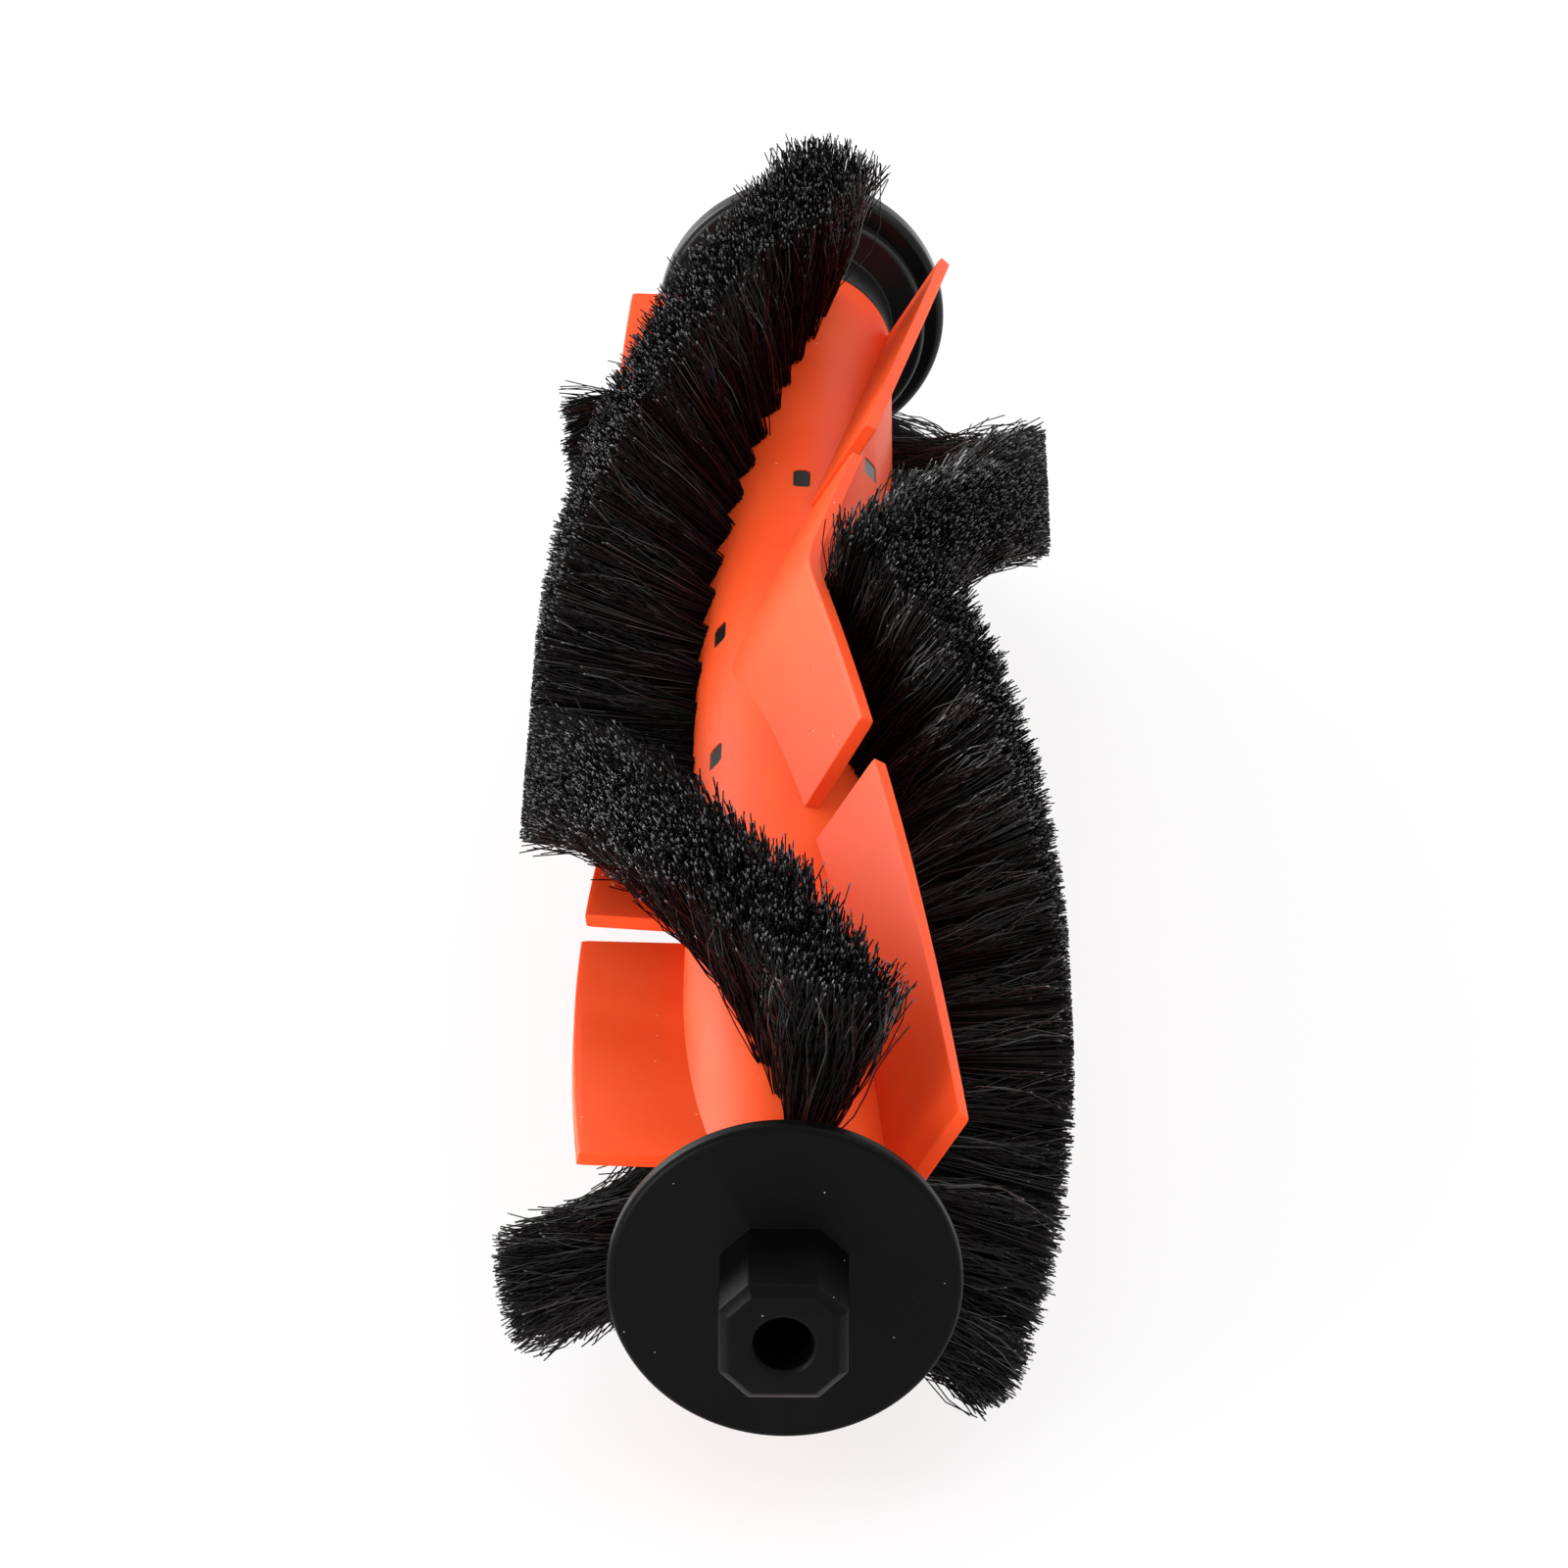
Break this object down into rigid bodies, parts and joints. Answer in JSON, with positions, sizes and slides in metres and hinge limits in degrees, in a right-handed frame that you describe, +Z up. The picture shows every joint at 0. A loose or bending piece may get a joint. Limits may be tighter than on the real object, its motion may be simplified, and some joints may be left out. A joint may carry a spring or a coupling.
{
  "type": "robot vacuum main brush",
  "caption": "Roller brush with an orange split-flap rubber sleeve, V rows of black nylon tufts, a square drive boss and a bearing end cap.",
  "frame": {"origin": "middle of the part's bounding box in plan, on the floor plane under the bristle tips", "axes": "+Y along the roller from the drive boss to the idle end cap, +Z up, +X to the right seen from the drive end"},
  "size_m": [0.042, 0.1852, 0.0416],
  "materials": {
    "black_plastic": "moulded, lightly textured, satin",
    "shaft_plastic": "moulded, dark grey, satin",
    "orange_rubber": "soft overmoulded rubber, semi-matte",
    "nylon_bristle": "cut nylon bristles, slight sheen",
    "pin_steel": "drawn and polished",
    "bearing_steel": "ground and polished",
    "cage_steel": "pressed sheet",
    "cap_plastic": "moulded, smooth"
  },
  "bodies": {
    "roller": {"drive_end_cap": "black_plastic", "core_shaft": "shaft_plastic", "flap_sleeve": "orange_rubber", "bristle_row_1": "nylon_bristle", "bristle_row_2": "nylon_bristle", "bristle_row_3": "nylon_bristle", "axle_pin": "pin_steel", "bearing_inner_race": "bearing_steel"},
    "bearing_balls": {"bearing_cage": "cage_steel", "bearing_ball_1": "bearing_steel", "bearing_ball_2": "bearing_steel", "bearing_ball_3": "bearing_steel", "bearing_ball_4": "bearing_steel", "bearing_ball_5": "bearing_steel", "bearing_ball_6": "bearing_steel", "bearing_ball_7": "bearing_steel"},
    "end_cap": {"idle_end_cap": "cap_plastic", "bearing_outer_race": "bearing_steel", "bearing_shield_roller_side": "bearing_steel", "bearing_shield_cap_side": "bearing_steel"}
  },
  "joints": [
    {"name": "end_cap_spin", "type": "hinge", "parent": "roller", "child": "end_cap", "pos_m": [0, 0.08905, 0.02065], "axis": [0, 1, 0], "continuous": true},
    {"name": "ball_cage_spin", "type": "hinge", "parent": "roller", "child": "bearing_balls", "pos_m": [0, 0.08905, 0.02065], "axis": [0, 1, 0], "continuous": true}
  ],
  "couplings": [
    {"joint": "ball_cage_spin", "follows": "end_cap_spin", "ratio": 0.6197}
  ]
}
